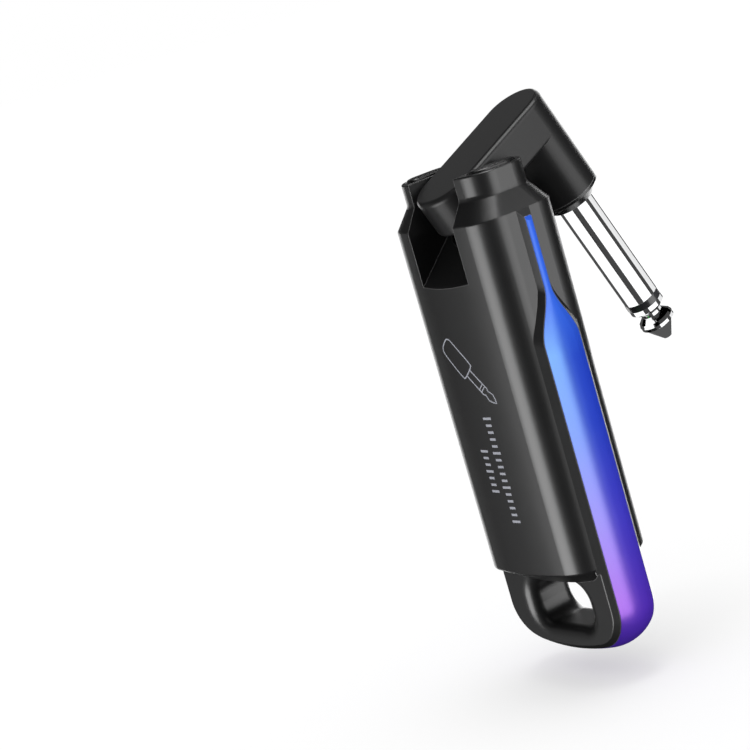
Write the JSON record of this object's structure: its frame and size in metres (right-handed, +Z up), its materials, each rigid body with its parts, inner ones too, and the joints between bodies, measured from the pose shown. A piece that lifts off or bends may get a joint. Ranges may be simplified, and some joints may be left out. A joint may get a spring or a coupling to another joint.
{
  "type": "wireless guitar transmitter",
  "caption": "Pocket wireless guitar transmitter with a folding jack-plug arm, round front button, side light bar, charging socket and key loop.",
  "frame": {"origin": "middle of the plug's root, where the plug leaves the arm's collar", "axes": "+Z up the housing from the key loop to the hinge, +X across the width from ear to ear towards the charging socket, +Y from the front face with the button to the back face"},
  "size_m": [0.0287, 0.0441, 0.0901],
  "materials": {
    "housing": "satin moulded",
    "arm_plastic": "satin moulded",
    "collar": "satin",
    "cap_plastic": "satin",
    "button": "satin",
    "trim": "satin metallic, blue to violet",
    "light": "clear",
    "socket_steel": "satin",
    "black_resin": "moulded",
    "gold": "plated",
    "plug_chrome": "polished",
    "brass": "turned",
    "white_resin": "moulded",
    "pin_steel": "ground",
    "bronze": "sintered",
    "spring_steel": "satin",
    "board": "solder mask",
    "lamp": "clear",
    "can": "satin",
    "chip": "moulded",
    "white_ceramic": "fired",
    "cell": "film",
    "foam": "open cell",
    "lead": "insulated"
  },
  "bodies": {
    "plug_arm": {"arm_shell": "arm_plastic", "arm_cover": "arm_plastic", "arm_cover_screws": "spring_steel", "pivot_bushes": "bronze", "plug_collar": "collar", "plug_sleeve": "plug_chrome", "insulator_ring": "black_resin", "insulator_tube": "white_resin", "plug_tip": "plug_chrome", "tip_rod": "brass", "solder_lugs": "brass", "arm_lead": "lead"},
    "housing": {"front_shell": "housing", "rear_shell": "housing", "ear_cap_left": "cap_plastic", "ear_cap_right": "cap_plastic", "side_trim": "trim", "light_bar": "light", "light_ring": "light", "socket_shell": "socket_steel", "socket_tongue": "black_resin", "socket_contacts": "gold", "pivot_pin_left": "pin_steel", "pivot_pin_right": "pin_steel", "friction_washers": "spring_steel", "pin_lock_screws": "spring_steel", "main_board": "board", "tact_switch": "black_resin", "ring_lamps": "lamp", "bar_lamps": "lamp", "shield_can": "can", "chips": "chip", "antenna": "white_ceramic", "battery_cell": "cell", "battery_pad": "foam", "body_lead": "lead"},
    "power_button": {"power_button": "button", "switch_plunger": "white_resin"}
  },
  "joints": [
    {"name": "arm_hinge", "type": "hinge", "parent": "plug_arm", "child": "housing", "pos_m": [0, 0.02194, 0.00698], "axis": [1, 0, 0], "range_deg": [-24, 196]},
    {"name": "button_press", "type": "slide", "parent": "housing", "child": "power_button", "axis": [0, 1, 0], "range_m": [0, 0.0004], "stiffness_N_per_m": 800}
  ]
}
